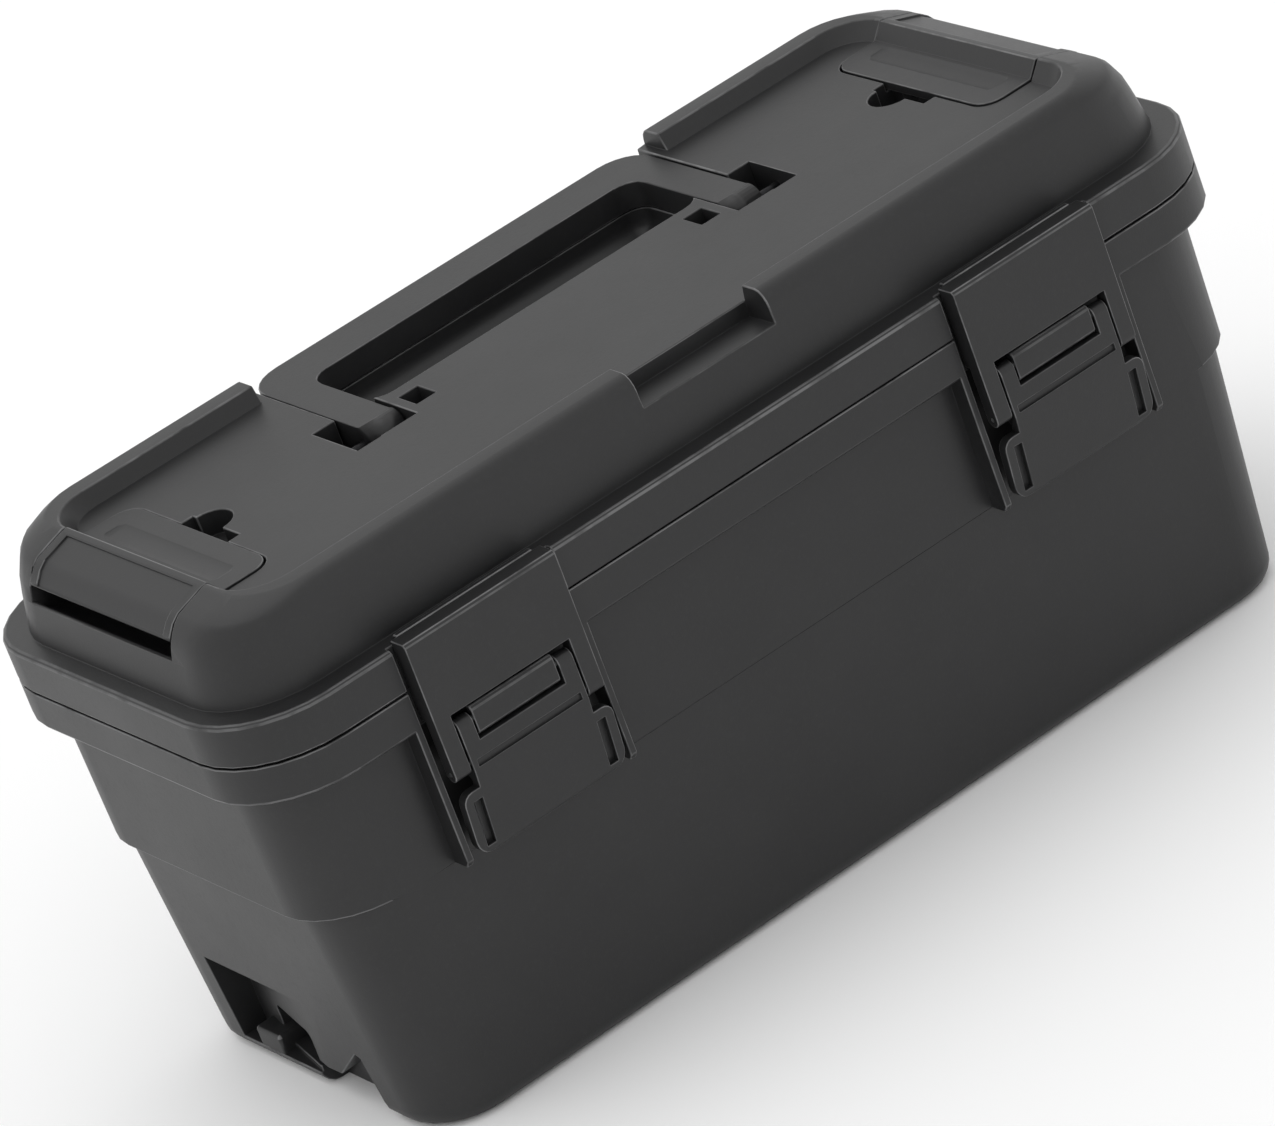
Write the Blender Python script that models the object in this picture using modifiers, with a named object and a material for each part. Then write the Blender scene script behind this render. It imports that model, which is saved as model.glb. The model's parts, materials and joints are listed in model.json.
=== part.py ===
"""Toolbox with a lift-out tray, two draw latches, a folding carry handle and two stacking clips.

Frame: +X runs along the length, -Y is the front with the latches, +Z is up.
The origin is on the ground under the middle of the box. Helpers take millimetres.
"""

import math

import bmesh
import bpy
from mathutils import Matrix, Vector

MM = 0.001

# Overall box
HALF_LENGTH = 240.0          # lid band and tub rim, half length
HALF_WIDTH = 102.5           # lid band and tub rim, half width
CORNER = 41.0                # plan radius of the band's corners
WALL = 3.0
SEAM_GROOVE = 0.9            # height and depth of the shadow line over the seam
GAP = 0.3                    # clearance between touching pieces
CORNER_STEPS = 7
REACH = 20.0                 # how far a cutter runs past the surface it opens

# Heights
STEP_Z = 102.5               # step in the tub wall
RIM_Z = 161.0                # underside of the tub rim
SEAM_Z = 177.0               # lid meets tub
BAND_Z = 195.5               # ledge on top of the lid band
PANEL_Z = 224.0              # flat panel on top of the lid
TOP_Z = 231.0                # raised border round the panel
CEILING_Z = PANEL_Z - WALL
NOTCH_FLOOR = 217.2          # gap in the border at the middle of the front
FRONT_NOTCH_HALF = 32.0
FRONT_NOTCH_Y = -72.6
TONGUE_OUT = WALL + 0.7      # lid's tongue inside the tub's rim: outer face, in from the band
TONGUE_IN = 5.8              # and its inner face

# Tub
FLOOR_FILLET = 8.0
TUB_LOW = (217.5, 90.0, 29.0)        # half length, half width and corner at the floor
TUB_MID = (224.7, 92.0, 32.0)        # just below the step
TUB_STEP = (229.7, 92.6, 35.0)       # just above the step
TUB_HIGH = (230.9, 93.5, 36.0)       # under the rim
POCKET_Y = (-41.0, 54.0)             # stacking pocket in each end wall
POCKET_Z = (7.0, 46.0)
POCKET_X = (206.0, 223.0)            # back of the pocket at its rear and front ends
HOOK_ROOM = (203.0, (-4.0, 30.0), (9.0, 25.0))
HOOK = (204.0, 217.0, (24.0, 42.0), (5.0, 15.0))
CORNER_NOTCH = [(-50.0, -2.0), (-46.5, 28.0), (-43.5, 29.0), (-22.5, 13.0), (-2.5, 12.5), (-2.5, -2.0)]
CORNER_NOTCH_X = 206.5

# Tray
TRAY_FLOOR_Z = 121.0
TRAY_SEAT_Z = RIM_Z + WALL + 0.4
TRAY_RIM = (233.0, 94.8, 40.0)
TRAY_WALL = 2.2
TRAY_LOW = (213.0, 78.5, 31.0)
TRAY_HIGH = (224.5, 87.0, 36.0)
TRAY_RIM_THICK = 2.5
TRAY_FILLET = 5.0
TRAY_DIVIDER_X = 80.0        # middle of each cross divider
TRAY_DIVIDER_HALF = 1.1
TRAY_DIVIDER_TOP = 160.0
GRIP_HALF = 1.5              # half thickness of the long divider and the grip on it
GRIP_TOP = 189.0
GRIP_SLOT = (47.0, 162.5, 180.5)     # half length, floor and top
GRIP_BAR = (55.0, 6.0)               # half length and half width
GRIP_FOOT = (76.0, 150.0)            # widest point of the grip and its height

# Lid hinge
HINGE_X = 150.0
HINGE_Y = HALF_WIDTH + 2.8
HINGE_LINE = (HINGE_Y, SEAM_Z)
KNUCKLE_R = 3.2
HINGE_PIN_R = 1.3
HINGE_BORE_R = 1.38
LID_KNUCKLE = 13.7           # half length of the lid's knuckle
HINGE_HALF = 27.8            # half length of the whole hinge

# Draw latches
LATCH_X = 132.6
LATCH_HALF = 35.3            # link plate and lever ears, half width
POCKET_HALF = 37.7           # recess between the guard ribs
RIB = 3.0
POCKET_FACE = -98.5          # back of the latch recess
LATCH_FACE = -(HINGE_Y + KNUCKLE_R)
LEVER_PIVOT = (-105.0, 155.8)
LINK_PIVOT = (-105.2, 140.5)
LEVER_PIN_R = 1.4
LINK_PIN_R = 1.2
PIN_PLAY = 0.09
ARM_OUT = 27.1               # lever arms: outer and inner half spacing
ARM_IN = 20.3
LUG_HALF = 19.3
LUG_FACE = -108.0
LUG_Z = (149.3, 161.4)
LEG_IN = 28.0                # link legs, inner half spacing
LEVER_Z = (103.0, 131.0, 162.0)     # foot, shoulder of the ears and above the arms
LINK_CUT_Z = 163.0
LINK_TOP = 197.5

# Carry handle
HANDLE_OUT = 96.8            # outer half width across the arms
HANDLE_IN = 80.8
HANDLE_BACK = 96.0
HANDLE_BAR = 71.5            # front face of the grip bar
HANDLE_Z = (211.9, 223.4)
HANDLE_AXIS = (11.0, 216.0)  # y and z of the pivot
HANDLE_CORNERS = (16.0, 9.0)         # outer and inner corner radius
HUB_R = 7.5
HANDLE_PIN_R = 2.0
HANDLE_PIN_X = (76.8, 112.2)
CHANNEL = (79.6, 97.6)
CHANNEL_Z = 211.4
CHANNEL_FRONT = -5.0
WELL = (80.6, 22.0, 72.0, 199.0)     # half length, front, back and floor; opens into the channels
PIVOT_POCKET = (108.5, 27.0, 207.0)  # outer x, rear y and floor
STRIP_HOLE = ((66.0, 75.0), (1.5, 14.5), 215.0)      # x, y and floor of the recess beside a pivot

# Stacking clips on the lid
CLIP_Y = (-45.4, 57.4)
CLIP_AXIS = (215.0, 217.0)
CLIP_HUB = 4.5
CLIP_PIN_R = 1.5
CLIP_TIP = 175.3
CLIP_PIN_Y = (-49.5, 61.5)
CLIP_BAY_Y = (-46.0, 58.0)
CLIP_BAY_R = 12.7
CLIP_SLOT_Z = 211.5
CLIP_FLOOR_Z = 220.2
CLIP_CORNER = 9.0
FINGER_NOTCH = (169.0, 10.0, 9.5, 214.0)      # centre x, centre y, radius and floor
FINGER_NOTCH_WIDE = (169.0, 177.0, (-12.0, 22.0))

ALL_LATCHES = {"left": -LATCH_X, "right": LATCH_X}
SIDES = {"left": -1, "right": 1}


# ---------------------------------------------------------------- scene helpers

def clear_scene():
    for item in list(bpy.data.objects):
        bpy.data.objects.remove(item, do_unlink=True)


def new_collection(name):
    group = bpy.data.collections.new(name)
    bpy.context.scene.collection.children.link(group)
    return group


clear_scene()
PARTS = new_collection("toolbox_with_tray")
CUTTERS = new_collection("toolbox_cutters")


def material(name, colour, roughness, metallic):
    made = bpy.data.materials.new(name)
    made.use_nodes = True
    shader = made.node_tree.nodes["Principled BSDF"]
    shader.inputs["Base Color"].default_value = (*colour, 1.0)
    shader.inputs["Roughness"].default_value = roughness
    shader.inputs["Metallic"].default_value = metallic
    return made


BLACK = (0.034, 0.034, 0.036)
CHARCOAL = (0.055, 0.056, 0.060)
STEEL = (0.56, 0.57, 0.58)


def finish_part(part, name, colour, roughness, metallic, pivot=None, parent=None):
    """Name the part, give it its own material, and put its origin on its pivot."""
    part.name = name
    part.data.name = name
    part.data.materials.clear()
    part.data.materials.append(material(name, colour, roughness, metallic))
    CUTTERS.objects.unlink(part)
    PARTS.objects.link(part)
    part.hide_render = False
    part.display_type = "TEXTURED"
    if pivot is not None:
        place = Vector(pivot) * MM
        part.data.transform(Matrix.Translation(-place))
        part.location = place
    if parent is not None:
        part.parent = parent
        part.matrix_parent_inverse = Matrix.Translation(-parent.location)
    return part


def plastic_part(part, name, pivot=None, parent=None, colour=BLACK):
    return finish_part(part, name, colour, 0.55, 0.0, pivot, parent)


def mesh_object(name, mesh):
    made = bpy.data.objects.new(name, mesh)
    CUTTERS.objects.link(made)
    made.hide_render = True
    made.display_type = "WIRE"
    return made


def from_bmesh(name, shape):
    bmesh.ops.recalc_face_normals(shape, faces=shape.faces)
    mesh = bpy.data.meshes.new(name)
    shape.to_mesh(mesh)
    shape.free()
    return mesh_object(name, mesh)


def box(name, x, y, z):
    """A box between the given low and high values along each axis."""
    low = Vector((min(x), min(y), min(z))) * MM
    high = Vector((max(x), max(y), max(z))) * MM
    shape = bmesh.new()
    bmesh.ops.create_cube(shape, size=1.0)
    bmesh.ops.scale(shape, vec=high - low, verts=shape.verts)
    bmesh.ops.translate(shape, vec=(low + high) / 2, verts=shape.verts)
    return from_bmesh(name, shape)


TURN = {
    "X": Matrix(((0, 0, 1), (1, 0, 0), (0, 1, 0))).to_4x4(),
    "Y": Matrix(((1, 0, 0), (0, 0, -1), (0, 1, 0))).to_4x4(),
    "Z": Matrix.Identity(4),
}


def rod(name, axis, centre, span, radius, sides=20):
    """A cylinder along an axis. The centre is its two other coordinates, in X, Y, Z order."""
    shape = bmesh.new()
    depth = (max(span) - min(span)) * MM
    bmesh.ops.create_cone(shape, cap_ends=True, segments=sides, radius1=radius * MM,
                          radius2=radius * MM, depth=depth)
    middle = sum(span) / 2 * (-1 if axis == "Y" else 1)
    shift = Matrix.Translation(Vector((centre[0], centre[1], middle)) * MM)
    bmesh.ops.transform(shape, matrix=TURN[axis] @ shift, verts=shape.verts)
    made = from_bmesh(name, shape)
    made.data.shade_smooth()
    made.data.set_sharp_from_angle(angle=math.radians(40))
    return made


def arc(centre, radius, start, end, steps):
    """Points along a circular arc, both ends included, angles in degrees."""
    points = []
    for step in range(steps + 1):
        angle = math.radians(start + (end - start) * step / steps)
        points.append((centre[0] + radius * math.cos(angle), centre[1] + radius * math.sin(angle)))
    return points


def prism(name, axis, outline, span):
    """A flat outline, as a filled 2D curve, made into a solid that runs along an axis."""
    curve = bpy.data.curves.new(name, "CURVE")
    curve.dimensions = "2D"
    curve.fill_mode = "BOTH"
    curve.extrude = (max(span) - min(span)) / 2 * MM
    line = curve.splines.new("POLY")
    line.points.add(len(outline) - 1)
    for point, place in zip(line.points, outline):
        point.co = (place[0] * MM, place[1] * MM, 0.0, 1.0)
    line.use_cyclic_u = True
    source = bpy.data.objects.new(name, curve)
    CUTTERS.objects.link(source)
    bpy.context.view_layer.update()
    mesh = bpy.data.meshes.new_from_object(source.evaluated_get(bpy.context.evaluated_depsgraph_get()))
    shape = bmesh.new()
    shape.from_mesh(mesh)
    bmesh.ops.remove_doubles(shape, verts=shape.verts, dist=0.00001)
    middle = sum(span) / 2 * (-1 if axis == "Y" else 1)
    shift = Matrix.Translation(Vector((0.0, 0.0, middle)) * MM)
    bmesh.ops.transform(shape, matrix=TURN[axis] @ shift, verts=shape.verts)
    bpy.data.objects.remove(source, do_unlink=True)
    bpy.data.meshes.remove(mesh)
    return from_bmesh(name, shape)


def ring(section):
    """A rounded rectangle in plan. A section is z, half length, front y, back y and radius."""
    z, half_x, front, back, radius = section
    points = []
    corners = ((1, back, 0), (-1, back, 90), (-1, front, 180), (1, front, 270))
    for sign, edge, start in corners:
        centre_y = edge - radius if edge > 0 else edge + radius
        for x, y in arc((sign * (half_x - radius), centre_y), radius, start, start + 90, CORNER_STEPS):
            points.append(Vector((x, y, z)) * MM)
    return points


def even(z, size):
    """A section that is centred front to back."""
    half_x, half_y, radius = size
    return (z, half_x, -half_y, half_y, radius)


def loft(name, sections):
    """A solid that passes through rounded rectangles of changing size."""
    shape = bmesh.new()
    rings = [[shape.verts.new(point) for point in ring(section)] for section in sections]
    for lower, upper in zip(rings, rings[1:]):
        count = len(lower)
        for i in range(count):
            shape.faces.new((lower[i], lower[(i + 1) % count], upper[(i + 1) % count], upper[i]))
    shape.faces.new(rings[0])
    shape.faces.new(rings[-1])
    return from_bmesh(name, shape)


def combine(target, operation, tools):
    """Boolean the tools into the target, one after another."""
    for tool in tools:
        step = target.modifiers.new(f"{operation.lower()} {tool.name}", "BOOLEAN")
        step.operation = operation
        step.solver = "EXACT"
        step.object = tool
    return target


def add(target, *tools):
    return combine(target, "UNION", tools)


def cut(target, *tools):
    return combine(target, "DIFFERENCE", tools)


def bevel(target, width, segments=2, angle=40):
    edge = target.modifiers.new("bevel", "BEVEL")
    edge.width = width * MM
    edge.segments = segments
    edge.limit_method = "ANGLE"
    edge.angle_limit = math.radians(angle)
    return target


def both(sign, low, high):
    """The span low..high on the right side, or its mirror image on the left."""
    return (sign * low, sign * high)


def around(centre, half):
    return (centre - half, centre + half)


def shrink(size, amount):
    return tuple(value - amount for value in size)


# ---------------------------------------------------------------- tub

def floor_fillet(size, radius, base_z, steps=4):
    """Sections that round the edge between a floor and its walls."""
    sections = []
    for step in range(steps + 1):
        angle = math.pi / 2 * step / steps
        inset = radius * (1 - math.sin(angle))
        sections.append(even(base_z + radius * (1 - math.cos(angle)), shrink(size, inset)))
    return sections


def end_pocket_tools(sign):
    """The stacking pocket in an end wall: an oblique back, the hook's room and a corner notch."""
    outside = HALF_LENGTH + REACH
    front, rear = POCKET_Y
    deep, shallow = POCKET_X
    outline = [(sign * outside, rear), (sign * deep, rear), (sign * shallow, front), (sign * outside, front)]
    main = prism("pocket", "Z", outline, POCKET_Z)
    room_x, room_y, room_z = HOOK_ROOM
    room = bevel(box("hook room", both(sign, room_x, outside), room_y, room_z), 3.0, 3)
    notch = prism("corner notch", "X", CORNER_NOTCH, both(sign, CORNER_NOTCH_X, outside))
    return main, room, notch


def add_latch_mounts(tub):
    """The two guard ribs and the pivot lug of each draw latch."""
    root = -TUB_STEP[1] + 1.1
    rib_side = [(root, STEP_Z - 1.0), (-HALF_WIDTH + 2.0, STEP_Z - 1.0), (-HALF_WIDTH, STEP_Z + 1.5),
                (-HALF_WIDTH, RIM_Z + 2.0), (root, RIM_Z + 2.0)]
    low, high = LUG_Z
    lug_side = [(root, low), (LUG_FACE + 1.3, low), (LUG_FACE, low + 1.3),
                (LUG_FACE, high - 1.4), (LUG_FACE + 1.2, high), (root, high)]
    for centre in ALL_LATCHES.values():
        for sign in SIDES.values():
            inner_face = centre + sign * POCKET_HALF
            add(tub, prism("guard rib", "X", rib_side, (inner_face, inner_face + sign * RIB)))
        add(tub, prism("latch lug", "X", lug_side, around(centre, LUG_HALF)))
        cut(tub, rod("lug bore", "X", LEVER_PIVOT, around(centre, LUG_HALF + 1.0), LEVER_PIN_R + PIN_PLAY))


def hinge_bore(hinge_x):
    return rod("hinge bore", "X", HINGE_LINE, around(hinge_x, HINGE_HALF + 1.0), HINGE_BORE_R, 16)


def make_tub():
    outer = floor_fillet(TUB_LOW, FLOOR_FILLET, 0.0)
    outer += [even(STEP_Z - 0.8, TUB_MID), even(STEP_Z, TUB_STEP), even(RIM_Z, TUB_HIGH)]
    band = (HALF_LENGTH, HALF_WIDTH, CORNER)
    outer += [even(RIM_Z, shrink(band, 1.0)), even(RIM_Z + 1.0, band), even(SEAM_Z - GAP / 2, band)]
    tub = loft("tub outer", outer)

    inner = floor_fillet(shrink(TUB_LOW, WALL), FLOOR_FILLET - WALL, WALL)
    inner += [even(STEP_Z + 1.5, shrink(TUB_MID, WALL)), even(STEP_Z + 2.5, shrink(TUB_STEP, WALL))]
    inner += [even(RIM_Z + WALL, shrink(TUB_HIGH, WALL)), even(RIM_Z + WALL, shrink(band, WALL))]
    inner += [even(SEAM_Z + REACH, shrink(band, WALL))]
    hollow = loft("tub inner", inner)
    for sign in SIDES.values():
        housing = box("pocket housing", both(sign, HOOK_ROOM[0] - WALL, HALF_LENGTH),
                      (POCKET_Y[0] - WALL, POCKET_Y[1] + WALL), (-1.0, POCKET_Z[1] + WALL))
        corner = box("corner housing", both(sign, CORNER_NOTCH_X - WALL, HALF_LENGTH), (-53.0, POCKET_Y[0]),
                     (-1.0, 32.0))
        cut(hollow, housing, corner)
    for centre in ALL_LATCHES.values():
        backing = box("latch backing", around(centre, POCKET_HALF + RIB), (-HALF_WIDTH, POCKET_FACE + WALL),
                      (RIM_Z, SEAM_Z))
        cut(hollow, backing)
    cut(tub, hollow)

    for centre in ALL_LATCHES.values():
        recess = box("latch recess", around(centre, POCKET_HALF), (POCKET_FACE, -HALF_WIDTH - REACH),
                     (RIM_Z - REACH, SEAM_Z + REACH))
        cut(tub, recess)
    for sign in SIDES.values():
        cut(tub, *end_pocket_tools(sign))
        hook_back, hook_face, hook_y, hook_z = HOOK
        add(tub, bevel(box("pocket hook", both(sign, hook_back, hook_face), hook_y, hook_z), 1.5, 2))

    add_latch_mounts(tub)

    for sign in SIDES.values():
        hinge_x = sign * HINGE_X
        span = around(hinge_x, HINGE_HALF)
        web = box("tub hinge web", span, (HALF_WIDTH - 1.0, HINGE_Y),
                  (SEAM_Z - KNUCKLE_R - 0.6, SEAM_Z - GAP / 2))
        add(tub, web, rod("tub knuckle", "X", HINGE_LINE, span, KNUCKLE_R, 24))
        cut(tub, rod("lid knuckle room", "X", HINGE_LINE, around(hinge_x, LID_KNUCKLE + 0.4),
                     KNUCKLE_R + GAP, 24))
        cut(tub, hinge_bore(hinge_x))
    return plastic_part(tub, "base_tub")


# ---------------------------------------------------------------- lid

LID_TOP_SECTIONS = [
    # z, half length, front, back, corner
    (BAND_Z, 231.5, -91.0, 91.0, 36.0),
    (211.0, 228.0, -89.9, 90.8, 35.0),
    (217.5, 226.0, -89.4, 90.6, 34.0),
    (221.0, 224.0, -89.0, 90.4, 33.0),
    (224.0, 221.6, -88.9, 90.2, 31.0),
    (226.4, 218.6, -88.4, 89.8, 29.0),
    (228.8, 211.6, -87.0, 88.9, 26.0),
    (230.4, 206.6, -84.9, 87.4, 23.5),
    (TOP_Z, 204.8, -82.6, 86.0, 22.0),
    (TOP_Z, 203.6, -74.6, 77.0, 20.0),
    (PANEL_Z, 197.6, -72.6, 74.0, 16.0),
]


LID_INNER_SECTIONS = [
    # z, half length, half width, corner
    (BAND_Z - WALL, 228.4, 87.8, 33.0),
    (211.0, 224.8, 86.8, 32.0),
    (216.5, 222.4, 86.0, 31.0),
    (CEILING_Z, 216.0, 82.0, 27.0),
]


def lid_hollow():
    """The space inside the lid, less the backing behind each recess."""
    band = (HALF_LENGTH, HALF_WIDTH, CORNER)
    tongue = shrink(band, TONGUE_IN)
    hollow = loft("lid inner", [
        even(SEAM_Z - REACH, tongue), even(BAND_Z - WALL, tongue),
        *(even(z, size) for z, *size in LID_INNER_SECTIONS)])
    top = PANEL_Z
    half, front, back, floor = WELL
    seat_floor = CHANNEL_Z - WALL
    seat = CHANNEL[1] + WALL
    notch = FRONT_NOTCH_HALF + WALL
    cut(hollow,
        box("well backing", (-half - WALL, half + WALL), (front - WALL, back + WALL), (floor - WALL, top)),
        box("bar backing", (-seat, seat), (66.0, HALF_WIDTH), (seat_floor, top)),
        box("front notch backing", (-notch, notch), (-HALF_WIDTH, FRONT_NOTCH_Y + WALL),
            (NOTCH_FLOOR - WALL, top)))
    hole_x, hole_y, hole_floor = STRIP_HOLE
    bay_y = (CLIP_BAY_Y[0] - 4.0, CLIP_BAY_Y[1] + 4.0)
    for sign in SIDES.values():
        inner = CHANNEL[0] - WALL
        outer = PIVOT_POCKET[0] + 4.0
        cut(hollow,
            box("pivot backing", both(sign, inner, outer), (CHANNEL_FRONT - WALL, PIVOT_POCKET[1] + WALL),
                (PIVOT_POCKET[2] - WALL, top)),
            box("channel backing", both(sign, inner, seat), (25.0, HALF_WIDTH), (seat_floor, top)),
            box("hole backing", both(sign, hole_x[0] - 2.5, inner + 1.0), (hole_y[0] - 2.5, hole_y[1] + 2.5),
                (hole_floor - 2.5, top)),
            box("clip backing", both(sign, 170.0, 206.0), bay_y, (CLIP_FLOOR_Z - WALL, top)),
            box("bay backing", both(sign, CLIP_AXIS[0] - CLIP_BAY_R - WALL, HALF_LENGTH), bay_y,
                (CLIP_AXIS[1] - CLIP_BAY_R - WALL, top)))
        notch_x, notch_y, notch_r, notch_floor = FINGER_NOTCH
        wide_y = FINGER_NOTCH_WIDE[2]
        cut(hollow, box("notch backing", both(sign, notch_x - notch_r - WALL, 185.0),
                        (wide_y[0] - WALL, wide_y[1] + WALL), (notch_floor - WALL, top)))
    for centre in ALL_LATCHES.values():
        cut(hollow, box("lid latch backing", around(centre, POCKET_HALF + RIB),
                        (-HALF_WIDTH, POCKET_FACE + WALL), (SEAM_Z, BAND_Z)))
    return hollow


def cut_handle_bed(lid):
    """The bed of the carry handle: channels, bar seat, finger well and pivot pockets."""
    high = TOP_Z + REACH
    half, front, back, floor = WELL
    well = bevel(box("finger well", (-half, half), (front, back), (floor, high)), 8.0, 4)
    cut(lid,
        box("rim gap", (-101.5, 101.5), (60.0, HALF_WIDTH + REACH), (PANEL_Z, high)),
        box("bar seat", (-CHANNEL[1], CHANNEL[1]), (HANDLE_BAR - 10.0, HALF_WIDTH + REACH),
            (CHANNEL_Z, high)),
        well)
    for sign in SIDES.values():
        cut(lid,
            box("arm channel", both(sign, *CHANNEL), (CHANNEL_FRONT, HALF_WIDTH + REACH), (CHANNEL_Z, high)),
            rod("hub room", "X", HANDLE_AXIS, both(sign, *CHANNEL), HUB_R + 0.6, 28),
            box("pivot pocket", both(sign, CHANNEL[1] - 0.5, PIVOT_POCKET[0]),
                (CHANNEL_FRONT - 0.5, PIVOT_POCKET[1]), (PIVOT_POCKET[2], high)),
            rod("handle bore", "X", HANDLE_AXIS, both(sign, 74.0, 114.0), HANDLE_PIN_R + PIN_PLAY),
            box("strip hole", both(sign, *STRIP_HOLE[0]), STRIP_HOLE[1], (STRIP_HOLE[2], high)))


def clip_plan(sign, tip, end, span):
    """Plan outline of a clip or its bed, with the two inner corners rounded."""
    front, rear = span
    outline = [(end, front)]
    outline += arc((tip + CLIP_CORNER, front + CLIP_CORNER), CLIP_CORNER, 270, 180, 5)
    outline += arc((tip + CLIP_CORNER, rear - CLIP_CORNER), CLIP_CORNER, 180, 90, 5)
    outline += [(end, rear)]
    return [(sign * x, y) for x, y in outline]


def cut_clip_bay(lid, sign):
    """The bay of one stacking clip: plate bed, swing room, slot under the wrap and finger notch."""
    high = TOP_Z + REACH
    outside = HALF_LENGTH + REACH
    notch_x, notch_y, notch_r, notch_floor = FINGER_NOTCH
    wide_in, wide_out, wide_y = FINGER_NOTCH_WIDE
    bed = clip_plan(sign, CLIP_TIP - 0.6, CLIP_AXIS[0], CLIP_BAY_Y)
    cut(lid,
        prism("clip bed", "Z", bed, (CLIP_FLOOR_Z, high)),
        rod("clip bay", "Y", (sign * CLIP_AXIS[0], CLIP_AXIS[1]), CLIP_BAY_Y, CLIP_BAY_R, 32),
        box("clip slot", both(sign, CLIP_AXIS[0] - 2.0, outside), CLIP_BAY_Y, (CLIP_SLOT_Z, high)),
        rod("clip bore", "Y", (sign * CLIP_AXIS[0], CLIP_AXIS[1]), (CLIP_PIN_Y[0] - 1.0, CLIP_PIN_Y[1] + 1.0),
            CLIP_PIN_R + PIN_PLAY),
        rod("finger notch", "Z", (sign * notch_x, notch_y), (notch_floor, high), notch_r, 24),
        box("finger notch wide", both(sign, wide_in, wide_out), wide_y, (notch_floor, high)))


def make_lid():
    band = (HALF_LENGTH, HALF_WIDTH, CORNER)
    tongue = shrink(band, TONGUE_OUT)
    groove = shrink(band, SEAM_GROOVE)
    lid = loft("lid outer", [
        even(SEAM_Z - WALL, tongue), even(SEAM_Z + GAP / 2, tongue),
        even(SEAM_Z + GAP / 2, groove), even(SEAM_Z + SEAM_GROOVE, groove),
        even(SEAM_Z + SEAM_GROOVE, band), even(BAND_Z - 1.2, band), even(BAND_Z, shrink(band, 1.4)),
        *LID_TOP_SECTIONS])
    cut(lid, lid_hollow())
    cut_handle_bed(lid)
    cut(lid, box("front notch", (-FRONT_NOTCH_HALF, FRONT_NOTCH_HALF), (-HALF_WIDTH, FRONT_NOTCH_Y),
                 (NOTCH_FLOOR, TOP_Z + REACH)))
    for sign in SIDES.values():
        cut_clip_bay(lid, sign)

    for centre in ALL_LATCHES.values():
        keeper = box("keeper lip", around(centre, 32.0), (POCKET_FACE - 1.0, POCKET_FACE + 3.0),
                     (BAND_Z - 1.0, LINK_TOP))
        add(lid, keeper)
        cut(lid,
            box("lid recess", around(centre, POCKET_HALF), (POCKET_FACE, -HALF_WIDTH - REACH),
                (SEAM_Z - REACH, BAND_Z + REACH)),
            box("tongue gap", around(centre, POCKET_HALF + RIB + 1.0),
                (-HALF_WIDTH, POCKET_FACE + WALL + 1.0), (SEAM_Z - REACH, SEAM_Z + GAP / 2)))

    for sign in SIDES.values():
        hinge_x = sign * HINGE_X
        span = around(hinge_x, LID_KNUCKLE)
        web = box("lid hinge web", span, (HALF_WIDTH - 1.0, HINGE_Y), (SEAM_Z + GAP / 2, SEAM_Z + KNUCKLE_R))
        add(lid, web, rod("lid knuckle", "X", HINGE_LINE, span, KNUCKLE_R, 24))
        for end in SIDES.values():
            room = (hinge_x + end * (LID_KNUCKLE + 0.01), hinge_x + end * (HINGE_HALF + 0.4))
            cut(lid, rod("tub knuckle room", "X", HINGE_LINE, room, KNUCKLE_R + GAP, 24))
        cut(lid, hinge_bore(hinge_x))
    return plastic_part(lid, "lid_shell", pivot=(0.0, HINGE_Y, SEAM_Z))


# ---------------------------------------------------------------- tray

def tray_grip_side():
    """Side outline of the tray's grip, which narrows upwards from the long divider."""
    foot_x, foot_z = GRIP_FOOT
    right = [(foot_x, foot_z), (66.0, 168.0), (58.0, 186.0), (54.0, GRIP_TOP)]
    return right + [(-x, z) for x, z in reversed(right)]


def make_tray():
    outer = floor_fillet(TRAY_LOW, TRAY_FILLET, TRAY_FLOOR_Z, 3)
    outer += [even(TRAY_SEAT_Z, TRAY_HIGH), even(TRAY_SEAT_Z, TRAY_RIM),
              even(TRAY_SEAT_Z + TRAY_RIM_THICK, TRAY_RIM)]
    tray = loft("tray outer", outer)

    inner_fillet = TRAY_FILLET - TRAY_WALL
    hollow = loft("tray inner", [
        even(TRAY_FLOOR_Z + TRAY_WALL, shrink(TRAY_LOW, TRAY_WALL + inner_fillet)),
        even(TRAY_FLOOR_Z + TRAY_WALL + inner_fillet, shrink(TRAY_LOW, TRAY_WALL)),
        even(TRAY_SEAT_Z + REACH, shrink(TRAY_HIGH, TRAY_WALL))])
    divider_z = (TRAY_FLOOR_Z - 1.0, TRAY_DIVIDER_TOP)
    cut(hollow, box("long divider", (-HALF_LENGTH, HALF_LENGTH), (-GRIP_HALF, GRIP_HALF), divider_z))
    for sign in SIDES.values():
        span = around(sign * TRAY_DIVIDER_X, TRAY_DIVIDER_HALF)
        cut(hollow, box("cross divider", span, (0.0, HALF_WIDTH), divider_z))
    cut(tray, hollow)

    slot_half, slot_floor, slot_top = GRIP_SLOT
    bar_half, bar_depth = GRIP_BAR
    grip = prism("tray grip", "Y", tray_grip_side(), (-GRIP_HALF, GRIP_HALF))
    slot = bevel(box("grip slot", (-slot_half, slot_half), (-REACH, REACH), (slot_floor, slot_top)), 5.0, 3)
    bar = bevel(box("grip bar", (-bar_half, bar_half), (-bar_depth, bar_depth), (slot_top, GRIP_TOP)), 3.0, 3)
    add(tray, grip)
    cut(tray, slot)
    add(tray, bar)
    return plastic_part(tray, "tray", colour=CHARCOAL)


# ---------------------------------------------------------------- latches

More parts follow.
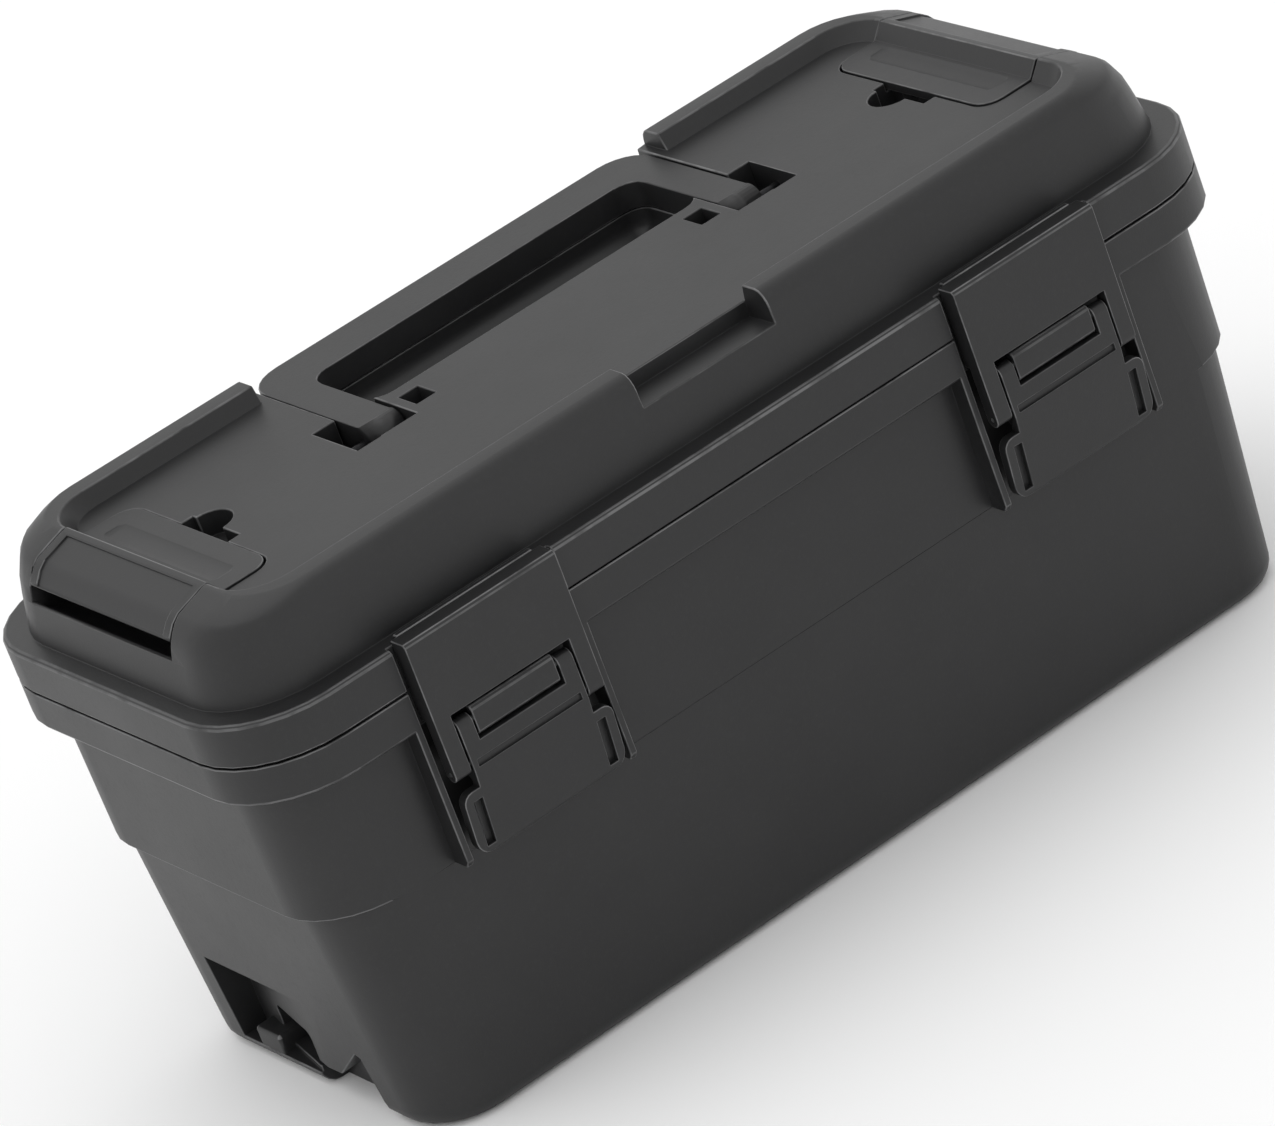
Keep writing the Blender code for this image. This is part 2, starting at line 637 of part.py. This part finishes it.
def lever_front(centre):
    """Front outline of a lever: arms at the top, rounded ears at the bottom."""
    low, shoulder, top = LEVER_Z
    outline = []
    for sign in (1, -1):
        side = [(ARM_OUT, top), (ARM_OUT, shoulder)]
        side += arc((LATCH_HALF - 4.5, shoulder - 4.5), 4.5, 90, 0, 4)
        side += arc((LATCH_HALF - 7.0, low + 7.0), 7.0, 0, -90, 5)
        if sign < 0:
            side.reverse()
        outline += [(centre + sign * x, z) for x, z in side]
    return outline


def make_lever(side, centre):
    """Lever of a draw latch: two arms at the top, a finger pad with ears at the bottom."""
    pivot_y, pivot_z = LEVER_PIVOT
    radius = pivot_y - LATCH_FACE
    profile = arc(LEVER_PIVOT, radius, 180, 0, 10)
    profile += [(pivot_y + radius, 150.0), (-99.5, 146.5), (-99.5, 137.0), (-103.2, 133.0), (-99.4, 104.0),
                (-100.4, 103.0), (-103.0, 103.0), (-104.2, 104.8), (LATCH_FACE, 137.5)]
    lever = prism("lever profile", "X", profile, around(centre, LATCH_HALF))
    front = prism("lever front", "Y", lever_front(centre), (-HALF_WIDTH - REACH, -90.0))
    combine(lever, "INTERSECT", [front])
    window = box("lever window", around(centre, ARM_IN), (-HALF_WIDTH - REACH, -90.0), (148.3, SEAM_Z))
    crease = box("lever crease", around(centre, 24.5), (-HALF_WIDTH - REACH, -107.3), (138.7, 141.6))
    bore_span = around(centre, ARM_OUT + 1.0)
    bore = rod("lever bore", "X", LEVER_PIVOT, bore_span, LEVER_PIN_R + PIN_PLAY)
    link_bore = rod("lever link bore", "X", LINK_PIVOT, bore_span, LINK_PIN_R + PIN_PLAY, 16)
    cut(lever, window, crease, bore, link_bore)
    groove = [(-101.9, 106.5), (-104.5, 126.5), (-115.0, 126.5), (-115.0, 106.5)]
    for sign in SIDES.values():
        cut(lever, prism("ear groove", "X", groove, around(centre + sign * 29.3, 1.9)))
    return plastic_part(lever, f"latch_lever_{side}", pivot=(centre, pivot_y, pivot_z))


def make_link(side, centre, lever):
    """Link of a draw latch: a plate over the band with two legs that hang on the lever."""
    back = -104.7
    top_back = POCKET_FACE - 0.4
    plate_side = [(LATCH_FACE, LINK_CUT_Z), (LATCH_FACE, LINK_TOP - 1.2), (LATCH_FACE + 1.2, LINK_TOP),
                  (top_back, LINK_TOP), (top_back, BAND_Z - 0.3), (back, BAND_Z - 0.3), (back, LINK_CUT_Z)]
    link = prism("link plate", "X", plate_side, around(centre, LATCH_HALF))
    pivot_y, pivot_z = LINK_PIVOT
    radius = pivot_y - LATCH_FACE
    for sign in SIDES.values():
        leg_side = [(LATCH_FACE, LINK_CUT_Z + 1.0)] + arc(LINK_PIVOT, radius, 180, 360, 8)
        leg_side += [(pivot_y + radius, LINK_CUT_Z + 1.0)]
        leg = prism("link leg", "X", leg_side, (centre + sign * LEG_IN, centre + sign * LATCH_HALF))
        flange = box("link side", (centre + sign * (LATCH_HALF - 1.8), centre + sign * LATCH_HALF),
                     (back - 1.0, POCKET_FACE - 0.8), (LINK_CUT_Z, BAND_Z))
        add(link, leg, flange)
    cut(link, rod("link bore", "X", LINK_PIVOT, around(centre, LATCH_HALF + 1.0), LINK_PIN_R + PIN_PLAY, 16))
    return plastic_part(link, f"latch_link_{side}", pivot=(centre, pivot_y, pivot_z), parent=lever)


# ---------------------------------------------------------------- handle and clips

def make_handle(lid):
    """U-shaped carry handle that lies flat in the lid."""
    outer_r, inner_r = HANDLE_CORNERS
    axis_y, axis_z = HANDLE_AXIS
    outline = [(-HANDLE_OUT, axis_y)]
    outline += arc((-HANDLE_OUT + outer_r, HANDLE_BACK - outer_r), outer_r, 180, 90, 6)
    outline += arc((HANDLE_OUT - outer_r, HANDLE_BACK - outer_r), outer_r, 90, 0, 6)
    outline += [(HANDLE_OUT, axis_y), (HANDLE_IN, axis_y)]
    outline += arc((HANDLE_IN - inner_r, HANDLE_BAR - inner_r), inner_r, 0, 90, 5)
    outline += arc((-HANDLE_IN + inner_r, HANDLE_BAR - inner_r), inner_r, 90, 180, 5)
    outline += [(-HANDLE_IN, axis_y)]
    handle = bevel(prism("handle bow", "Z", outline, HANDLE_Z), 1.6, 2)
    for sign in SIDES.values():
        add(handle, rod("handle hub", "X", HANDLE_AXIS, both(sign, HANDLE_IN, HANDLE_OUT), HUB_R, 28))
    bore_half = HANDLE_OUT + 1.0
    cut(handle, rod("hub bore", "X", HANDLE_AXIS, (-bore_half, bore_half), HANDLE_PIN_R + PIN_PLAY))
    return plastic_part(handle, "carry_handle", pivot=(0.0, axis_y, axis_z), parent=lid)


def make_clip(side, sign, lid):
    """Stacking clip: a plate on the lid's panel and a wrap round the lid's end."""
    axis_x, axis_z = CLIP_AXIS
    outline = [(CLIP_TIP, 220.7), (CLIP_TIP, 224.6), (198.0, 224.8), (203.0, 230.9), (205.4, 230.6),
               (218.4, 226.5), (222.0, 223.9), (225.2, 219.8), (225.4, 218.2), (224.6, 217.6)]
    outline += arc(CLIP_AXIS, CLIP_HUB, 0, -180, 8)
    outline += [(axis_x - CLIP_HUB, 218.5), (206.0, 220.7)]
    clip = prism("clip", "Y", [(sign * x, z) for x, z in outline], CLIP_Y)
    plan = clip_plan(sign, CLIP_TIP, HALF_LENGTH, CLIP_Y)
    combine(clip, "INTERSECT", [prism("clip plan", "Z", plan, (BAND_Z, HALF_LENGTH))])
    panel = bevel(box("clip panel", both(sign, 183.0, 198.6), (-38.0, 50.0), (223.9, BAND_Z + 60.0)), 5.0, 3)
    slope = [(206.4, 240.0), (206.4, 229.6), (217.9, 225.9), (221.4, 223.4), (224.5, 219.4), (224.7, 218.6),
             (232.0, 218.6), (232.0, 240.0)]
    face = prism("clip face", "Y", [(sign * x, z) for x, z in slope], (-40.5, 52.5))
    bore = rod("clip hub bore", "Y", (sign * axis_x, axis_z), (CLIP_Y[0] - 1.0, CLIP_Y[1] + 1.0),
               CLIP_PIN_R + PIN_PLAY)
    cut(clip, panel, face, bore)
    middle_y = sum(CLIP_Y) / 2
    return plastic_part(clip, f"stack_clip_{side}", pivot=(sign * axis_x, middle_y, axis_z), parent=lid)


# ---------------------------------------------------------------- steel pins

def steel_pin(name, axis, centre, span, radius, parent=None):
    pin = rod(name, axis, centre, span, radius, 20)
    return finish_part(pin, name, STEEL, 0.3, 1.0, parent=parent)


def make_pins(lid, levers):
    for side, sign in SIDES.items():
        steel_pin(f"hinge_pin_{side}", "X", HINGE_LINE, around(sign * HINGE_X, HINGE_HALF), HINGE_PIN_R)
        steel_pin(f"handle_pin_{side}", "X", HANDLE_AXIS, both(sign, *HANDLE_PIN_X), HANDLE_PIN_R, lid)
        steel_pin(f"clip_pin_{side}", "Y", (sign * CLIP_AXIS[0], CLIP_AXIS[1]), CLIP_PIN_Y, CLIP_PIN_R, lid)
        centre = ALL_LATCHES[side]
        lever_span = around(centre, ARM_OUT - 0.1)
        link_span = around(centre, LATCH_HALF - 0.1)
        steel_pin(f"lever_pin_{side}", "X", LEVER_PIVOT, lever_span, LEVER_PIN_R)
        steel_pin(f"link_pin_{side}", "X", LINK_PIVOT, link_span, LINK_PIN_R, levers[side])


def main():
    make_tub()
    lid = make_lid()
    make_tray()
    make_handle(lid)
    levers = {}
    for side, centre in ALL_LATCHES.items():
        levers[side] = make_lever(side, centre)
        make_link(side, centre, levers[side])
    for side, sign in SIDES.items():
        make_clip(side, sign, lid)
    make_pins(lid, levers)


main()
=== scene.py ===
"""Looks for the toolbox.

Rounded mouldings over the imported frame, procedural plastic and steel, and a studio.
"""

import json
import math

import bmesh
import bpy
from mathutils import Matrix, Vector


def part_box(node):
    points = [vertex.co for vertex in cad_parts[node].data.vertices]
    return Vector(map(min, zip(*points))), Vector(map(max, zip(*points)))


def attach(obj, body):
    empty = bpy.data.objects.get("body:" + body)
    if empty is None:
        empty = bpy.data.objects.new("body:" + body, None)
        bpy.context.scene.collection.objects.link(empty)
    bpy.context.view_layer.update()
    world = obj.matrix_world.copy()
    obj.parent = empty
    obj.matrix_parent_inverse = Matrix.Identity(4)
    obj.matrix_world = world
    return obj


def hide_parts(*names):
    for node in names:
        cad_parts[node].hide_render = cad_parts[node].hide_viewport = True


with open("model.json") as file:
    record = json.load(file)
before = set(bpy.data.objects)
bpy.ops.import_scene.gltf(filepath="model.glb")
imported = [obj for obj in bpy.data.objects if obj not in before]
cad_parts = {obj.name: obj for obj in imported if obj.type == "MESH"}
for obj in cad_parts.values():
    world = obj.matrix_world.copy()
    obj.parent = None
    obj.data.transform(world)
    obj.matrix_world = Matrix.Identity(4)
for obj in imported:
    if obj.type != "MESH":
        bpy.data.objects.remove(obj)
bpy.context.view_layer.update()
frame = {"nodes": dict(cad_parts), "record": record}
NODES = frame["nodes"]
BODIES = frame["record"]["behaviour"]["bodies"]
BODY_OF = {node: body for body, names in BODIES.items() for node in names}


# ---------------------------------------------------------------- shader writing

class Wire:
    """One socket of a shader, with arithmetic that adds the maths nodes."""

    def __init__(self, sheet, socket):
        self.sheet = sheet
        self.socket = socket

    def maths(self, operation, *others):
        sockets = dict(enumerate((self,) + others))
        return self.sheet.node("ShaderNodeMath", {"operation": operation}, sockets)

    def __add__(self, other):
        return self.maths("ADD", other)

    __radd__ = __add__

    def __mul__(self, other):
        return self.maths("MULTIPLY", other)

    def __sub__(self, other):
        return self.maths("SUBTRACT", other)


class Sheet:
    """A material being written."""

    def __init__(self, name):
        self.material = bpy.data.materials.new(name)
        self.material.use_nodes = True
        self.tree = self.material.node_tree
        self.shader = self.tree.nodes["Principled BSDF"]

    def node(self, kind, settings=None, sockets=None, output=0):
        """A node of a kind, its settings made first and then its sockets filled or linked."""
        made = self.tree.nodes.new(kind)
        for key, value in (settings or {}).items():
            setattr(made, key, value)
        for key, value in (sockets or {}).items():
            self.feed(made.inputs[key], value)
        return Wire(self, made.outputs[output])

    def feed(self, socket, value):
        if isinstance(value, Wire):
            self.tree.links.new(value.socket, socket)
        else:
            socket.default_value = value

    def surface(self, **values):
        """Feed the shader's own sockets, named with underscores for spaces."""
        for key, value in values.items():
            label = key.replace("_", " ").title().replace("Ior", "IOR")
            self.feed(self.shader.inputs[label], value)
        return self.material

    def place(self):
        """Where the point is on the piece, in metres."""
        return self.node("ShaderNodeTexCoord", output="Object")

    def noise(self, scale, detail=2.0, roughness=0.5):
        return self.node("ShaderNodeTexNoise", {}, {
            "Vector": self.place(), "Scale": scale, "Detail": detail, "Roughness": roughness})

    def ramp(self, value, low, high):
        return self.node("ShaderNodeMapRange", {"clamp": True}, {
            "Value": value, "From Min": low, "From Max": high, "To Min": 0.0, "To Max": 1.0})

    def blend_colours(self, mask, first, second):
        made = self.tree.nodes.new("ShaderNodeMix")
        made.data_type = "RGBA"
        self.feed(made.inputs["Factor"], mask)
        self.feed(made.inputs[6], first)
        self.feed(made.inputs[7], second)
        return Wire(self, made.outputs[2])

    def bump(self, height, distance, strength=1.0, under=None):
        sockets = {"Height": height, "Distance": distance, "Strength": strength}
        if under is not None:
            sockets["Normal"] = under
        return self.node("ShaderNodeBump", {}, sockets)


PLASTIC_IOR = 1.46
EDGE_HIGHLIGHT = "painted_edge_highlight"
# name of the face attribute that carries the painted edge highlight
DUST = (0.05, 0.05, 0.052, 1.0)
# light grey painted onto rounded edges as a highlight
HIGHLIGHT_GREY = (0.14, 0.14, 0.142, 1.0)


def moulded_plastic(name, dark, light, roughness):
    """Black moulded plastic: eroded grain, faint flow marks, dust and a painted highlight on the
    edges, patchy like rubbing.
    """
    sheet = Sheet(name)
    flow = sheet.noise(9.0, 3.0, 0.55)
    cloud = sheet.noise(60.0, 2.0, 0.5)
    dust = sheet.ramp(sheet.noise(420.0, 3.0, 0.65), 0.52, 0.78)
    tone = sheet.ramp(flow * 0.7 + cloud * 0.3, 0.35, 0.65)
    colour = sheet.blend_colours(tone, dark, light)
    colour = sheet.blend_colours(dust * 0.12, colour, DUST)
    # painted highlight: rounded edges are lightened and made glossier, in noisy patches like
    # rubbing
    edge_highlight_mask = sheet.node("ShaderNodeAttribute", {"attribute_name": EDGE_HIGHLIGHT}, output=2)
    painted_highlight = edge_highlight_mask * sheet.ramp(sheet.noise(75.0, 3.0, 0.6), 0.25, 0.55)
    colour = sheet.blend_colours(painted_highlight, colour, HIGHLIGHT_GREY)
    grain = sheet.noise(1500.0, 2.0, 0.6)
    coarse = sheet.noise(520.0, 2.0, 0.5)
    skin = sheet.bump(grain * 0.6 + coarse * 0.4, 0.00012, 0.5)
    waves = sheet.bump(sheet.noise(14.0, 1.0, 0.4), 0.0006, 0.12, skin)
    gloss = roughness + (tone - 0.5) * 0.06 + dust * 0.05 - painted_highlight * 0.12
    return sheet.surface(base_color=colour, roughness=gloss, normal=waves, ior=PLASTIC_IOR)


def drawn_wire(name, dull, bright):
    """Drawn steel wire with fine rings round it and a little dulling."""
    sheet = Sheet(name)
    tone = sheet.ramp(sheet.noise(240.0, 3.0, 0.6), 0.3, 0.7)
    colour = sheet.blend_colours(tone, dull, bright)
    rings = sheet.bump(sheet.noise(2600.0, 2.0, 0.5), 0.00004, 0.4)
    gloss = 0.26 + tone * 0.12
    return sheet.surface(base_color=colour, metallic=1.0, roughness=gloss, normal=rings)


BLACK_PLASTIC = moulded_plastic(
    "black_plastic", (0.011, 0.011, 0.0115, 1.0), (0.015, 0.015, 0.0155, 1.0), roughness=0.42)
TRAY_PLASTIC = moulded_plastic(
    "tray_plastic", (0.024, 0.024, 0.026, 1.0), (0.031, 0.031, 0.033, 1.0), roughness=0.45)
BRIGHT_STEEL = drawn_wire("bright_steel", (0.42, 0.43, 0.44, 1.0), (0.60, 0.61, 0.62, 1.0))
DARK_STEEL = drawn_wire("blackened_steel", (0.020, 0.020, 0.021, 1.0), (0.035, 0.035, 0.037, 1.0))


# ---------------------------------------------------------------- pieces

SHARP_EDGE = math.radians(33)        # least turn of an edge that is rounded
INNER_CORNER = 0.3                   # share of the rounding that an inner corner gets
ROOM = 2.5                           # rounding widths that both faces of a rounded edge need
MERGE = 0.000005                     # points closer than this are one
FLAT = math.radians(0.6)             # faces that turn less than this are one
FULL_HIGHLIGHT_TURN = math.radians(20)         # mean turn of a face's edges at the full painted edge highlight
WIDTHS = {"base_tub": 0.0005, "lid_shell": 0.0006, "carry_handle": 0.0008}
FINE_WIDTH = 0.0004                  # rounding of every other moulding
ROUNDING_SEGMENTS = 3
FLATS_WEIGHT = 80
PIN_POINTS = 120                     # rings along a pin
PIN_SIDES = 28
PIN_RISE = 60.0                      # a chamfer takes one part in this of the length
PIN_CHAMFER = 0.25                   # share of the radius
PIN_SHARP = math.radians(36)


def new_piece(name, mesh, node, material):
    piece = bpy.data.objects.new(name, mesh)
    bpy.context.scene.collection.objects.link(piece)
    mesh.materials.clear()
    mesh.materials.append(material)
    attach(piece, BODY_OF[node])
    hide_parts(node)
    return piece


def baked(source):
    """The evaluated shape of an object as a plain mesh; the object is removed."""
    shaped = source.evaluated_get(bpy.context.evaluated_depsgraph_get())
    mesh = bpy.data.meshes.new_from_object(shaped)
    bpy.data.objects.remove(source, do_unlink=True)
    return mesh


def narrowness(face):
    return face.calc_area() / max(edge.calc_length() for edge in face.edges)


def clean_copy(node, width):
    """The node's mesh as flat faces, with the edges marked that have room for a rounding."""
    shape = bmesh.new()
    shape.from_mesh(NODES[node].data)
    bmesh.ops.remove_doubles(shape, verts=shape.verts, dist=MERGE)
    bmesh.ops.dissolve_limit(shape, angle_limit=FLAT, verts=shape.verts, edges=shape.edges)
    weight = shape.edges.layers.float.new("bevel_weight_edge")
    for edge in shape.edges:
        turn = edge.calc_face_angle_signed(0.0)
        if abs(turn) > SHARP_EDGE and min(map(narrowness, edge.link_faces)) > ROOM * width:
            edge[weight] = 1.0 if turn > 0 else INNER_CORNER
    mesh = bpy.data.meshes.new(node)
    shape.to_mesh(mesh)
    shape.free()
    return mesh


def mark_edge_highlight(mesh, width):
    """Store on each narrow face how far its edges stick out, for the painted edge highlight."""
    shape = bmesh.new()
    shape.from_mesh(mesh)
    highlight_layer = shape.faces.layers.float.new(EDGE_HIGHLIGHT)
    # the painted edge highlight goes on narrow faces, strongest where their edges stick out most
    for face in shape.faces:
        if narrowness(face) > width:
            continue
        turns = [edge.calc_face_angle_signed(0.0) for edge in face.edges]
        face[highlight_layer] = min(max(sum(turns) / len(turns) / FULL_HIGHLIGHT_TURN, 0.0), 1.0)
    shape.to_mesh(mesh)
    shape.free()


def rounded(node, width):
    """A moulding with its edges rounded, its flats kept flat and its roundings shaded smooth."""
    sharp = clean_copy(node, width)
    sharp.shade_smooth()
    holder = bpy.data.objects.new(node, sharp)
    bpy.context.scene.collection.objects.link(holder)
    edge = holder.modifiers.new("edges", "BEVEL")
    edge.width = width
    edge.segments = ROUNDING_SEGMENTS
    edge.limit_method = "WEIGHT"
    edge.use_clamp_overlap = False
    edge.miter_outer = "MITER_ARC"
    shading = holder.modifiers.new("shading", "WEIGHTED_NORMAL")
    shading.mode = "FACE_AREA"
    shading.weight = FLATS_WEIGHT
    mesh = baked(holder)
    mark_edge_highlight(mesh, width)
    return mesh


def dress_mouldings():
    for node in NODES:
        if "pin" in node:
            continue
        material = TRAY_PLASTIC if node == "tray" else BLACK_PLASTIC
        shape = rounded(node, WIDTHS.get(node, FINE_WIDTH))
        new_piece(f"{node}_moulding", shape, node, material)


def wire_pin_tree():
    """A straight wire pin along X with chamfered ends, from its length and radius."""
    tree = bpy.data.node_groups.new("wire pin", "GeometryNodeTree")
    for label, kind in (("Start", "NodeSocketVector"), ("End", "NodeSocketVector"),
                        ("Radius", "NodeSocketFloat"), ("Chamfer", "NodeSocketFloat"),
                        ("Material", "NodeSocketMaterial")):
        tree.interface.new_socket(label, in_out="INPUT", socket_type=kind)
    tree.interface.new_socket("Geometry", in_out="OUTPUT", socket_type="NodeSocketGeometry")

    def add(kind, settings=None, sockets=None):
        made = tree.nodes.new(kind)
        for key, value in (settings or {}).items():
            setattr(made, key, value)
        for key, value in (sockets or {}).items():
            if isinstance(value, bpy.types.NodeSocket):
                tree.links.new(value, made.inputs[key])
            else:
                made.inputs[key].default_value = value
        return made

    sizes = add("NodeGroupInput").outputs
    line = add("GeometryNodeCurvePrimitiveLine", {},
               {"Start": sizes["Start"], "End": sizes["End"]})
    points = add("GeometryNodeResampleCurve", {}, {"Curve": line.outputs[0], "Count": PIN_POINTS})
    along = add("GeometryNodeSplineParameter")
    share = along.outputs["Factor"]
    left = add("ShaderNodeMath", {"operation": "SUBTRACT"}, {0: 1.0, 1: share})
    nearest = add("ShaderNodeMath", {"operation": "MINIMUM"}, {0: share, 1: left.outputs[0]})
    rise = add("ShaderNodeMath", {"operation": "MULTIPLY"}, {0: nearest.outputs[0], 1: PIN_RISE})
    capped = add("ShaderNodeMath", {"operation": "MINIMUM"}, {0: rise.outputs[0], 1: 1.0})
    missing = add("ShaderNodeMath", {"operation": "SUBTRACT"}, {0: 1.0, 1: capped.outputs[0]})
    cut = add("ShaderNodeMath", {"operation": "MULTIPLY"},
              {0: missing.outputs[0], 1: sizes["Chamfer"]})
    local = add("ShaderNodeMath", {"operation": "SUBTRACT"},
                {0: sizes["Radius"], 1: cut.outputs[0]})
    ring = add("GeometryNodeCurvePrimitiveCircle", {}, {"Resolution": PIN_SIDES, "Radius": 1.0})
    width = add("GeometryNodeSetCurveRadius", {},
                {"Curve": points.outputs[0], "Radius": local.outputs[0]})
    swept = add("GeometryNodeCurveToMesh", {},
                {"Curve": width.outputs[0], "Profile Curve": ring.outputs[0], "Fill Caps": True})
    if "Scale" in swept.inputs:
        tree.links.new(local.outputs[0], swept.inputs["Scale"])
    smooth = add("GeometryNodeSetShadeSmooth", {}, {"Geometry": swept.outputs[0]})
    real = add("GeometryNodeRealizeInstances", {}, {"Geometry": smooth.outputs[0]})
    coated = add("GeometryNodeSetMaterial", {},
                 {"Geometry": real.outputs[0], "Material": sizes["Material"]})
    add("NodeGroupOutput", {}, {"Geometry": coated.outputs[0]})
    return tree


def wire_pins():
    tree = wire_pin_tree()
    keys = {item.name: item.identifier for item in tree.interface.items_tree
            if item.in_out == "INPUT"}
    for node in NODES:
        if "pin" not in node:
            continue
        low, high = (Vector(corner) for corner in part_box(node))
        span = high - low
        length = max(span)
        radius = min(span) / 2
        middle = (low + high) / 2
        along = Vector([1.0 if abs(part - length) < 1e-9 else 0.0 for part in span])
        holder = bpy.data.objects.new(node, bpy.data.meshes.new(node))
        bpy.context.scene.collection.objects.link(holder)
        nodes = holder.modifiers.new("wire pin", "NODES")
        nodes.node_group = tree
        nodes[keys["Start"]] = middle - along * length / 2
        nodes[keys["End"]] = middle + along * length / 2
        nodes[keys["Radius"]] = radius
        nodes[keys["Chamfer"]] = radius * PIN_CHAMFER
        steel = DARK_STEEL if "handle" in node else BRIGHT_STEEL
        nodes[keys["Material"]] = steel
        mesh = baked(holder)
        mesh.set_sharp_from_angle(angle=PIN_SHARP)
        new_piece(f"{node}_wire", mesh, node, steel)


# ---------------------------------------------------------------- studio

FLOOR_SIZE = 30.0
FLOOR_DARK = (0.93, 0.93, 0.93, 1.0)
FLOOR_LIGHT = (0.95, 0.95, 0.95, 1.0)
BOX_MIDDLE = (0.0, 0.0, 0.12)
LAMP_PLACE = (-0.3, 0.6, 2.6)
LAMP_SIZE = (2.4, 2.4)
LAMP_POWER = 14.0
SKY = 0.97
EYE_PLACE = (-1.23051, -2.41800, 1.40787)
EYE_AIM = (0.40605, 0.80604, -0.43061)
EYE_ROLL = math.radians(-20.733)
LENS = 219.07

def floor():
    shape = bmesh.new()
    bmesh.ops.create_grid(shape, x_segments=1, y_segments=1, size=FLOOR_SIZE)
    mesh = bpy.data.meshes.new("studio_floor")
    shape.to_mesh(mesh)
    shape.free()
    ground = bpy.data.objects.new("studio_floor", mesh)
    bpy.context.scene.collection.objects.link(ground)
    sheet = Sheet("studio_floor")
    mottle = sheet.ramp(sheet.noise(2.0, 2.0), 0.2, 0.8)
    colour = sheet.blend_colours(mottle, FLOOR_DARK, FLOOR_LIGHT)
    mesh.materials.append(sheet.surface(base_color=colour, roughness=0.9))


def soft_light(name, place, aim, size, power):
    lamp = bpy.data.lights.new(name, "AREA")
    lamp.shape = "RECTANGLE"
    lamp.size, lamp.size_y = size
    lamp.energy = power
    holder = bpy.data.objects.new(name, lamp)
    holder.location = place
    holder.rotation_euler = (Vector(aim) - Vector(place)).to_track_quat("-Z", "Y").to_euler()
    bpy.context.scene.collection.objects.link(holder)


def studio():
    floor()
    soft_light("overhead", LAMP_PLACE, BOX_MIDDLE, LAMP_SIZE, LAMP_POWER)
    world = bpy.data.worlds.new("studio")
    world.use_nodes = True
    sky = world.node_tree.nodes["Background"]
    sky.inputs["Color"].default_value = (1.0, 1.0, 1.0, 1.0)
    sky.inputs["Strength"].default_value = SKY
    bpy.context.scene.world = world
    bpy.context.scene.view_settings.view_transform = "Standard"


def camera():
    """A long lens from the left front, above, rolled so that the box climbs to the right."""
    eye = bpy.data.cameras.new("camera")
    eye.sensor_width = 36.0
    eye.sensor_fit = "HORIZONTAL"
    eye.lens = LENS
    eye.clip_end = 60.0
    holder = bpy.data.objects.new("camera", eye)
    aim = Vector(EYE_AIM).to_track_quat("-Z", "Y").to_matrix().to_4x4()
    roll = Matrix.Rotation(EYE_ROLL, 4, "Z")
    holder.matrix_world = Matrix.Translation(EYE_PLACE) @ aim @ roll
    bpy.context.scene.collection.objects.link(holder)
    bpy.context.scene.camera = holder


camera()
dress_mouldings()
wire_pins()
studio()
